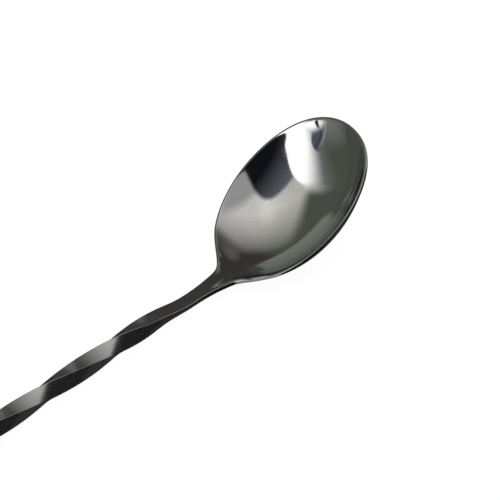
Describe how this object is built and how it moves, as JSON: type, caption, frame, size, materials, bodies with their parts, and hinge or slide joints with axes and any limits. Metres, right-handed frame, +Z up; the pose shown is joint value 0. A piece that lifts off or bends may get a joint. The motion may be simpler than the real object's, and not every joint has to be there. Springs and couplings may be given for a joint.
{
  "type": "bar spoon",
  "caption": "Long bar spoon: polished oval bowl cranked to a twisted square steel stem, with a small round moulded knob on the far end",
  "frame": {"origin": "on the surface that the spoon lies on, under the middle of its overall length, on its mirror plane", "axes": "+X along the stem towards the bowl's tip, +Y to the left as seen from the knob, +Z up, out of the bowl's open side"},
  "size_m": [0.28, 0.0328, 0.0218],
  "materials": {
    "polished_steel": "mirror-polished stainless steel with fine wipe marks",
    "knob_plastic": "glossy moulded red plastic with a faint mould seam"
  },
  "bodies": {
    "root": {"bowl": "polished_steel", "twisted_stem": "polished_steel", "knob": "knob_plastic"}
  },
  "joints": []
}
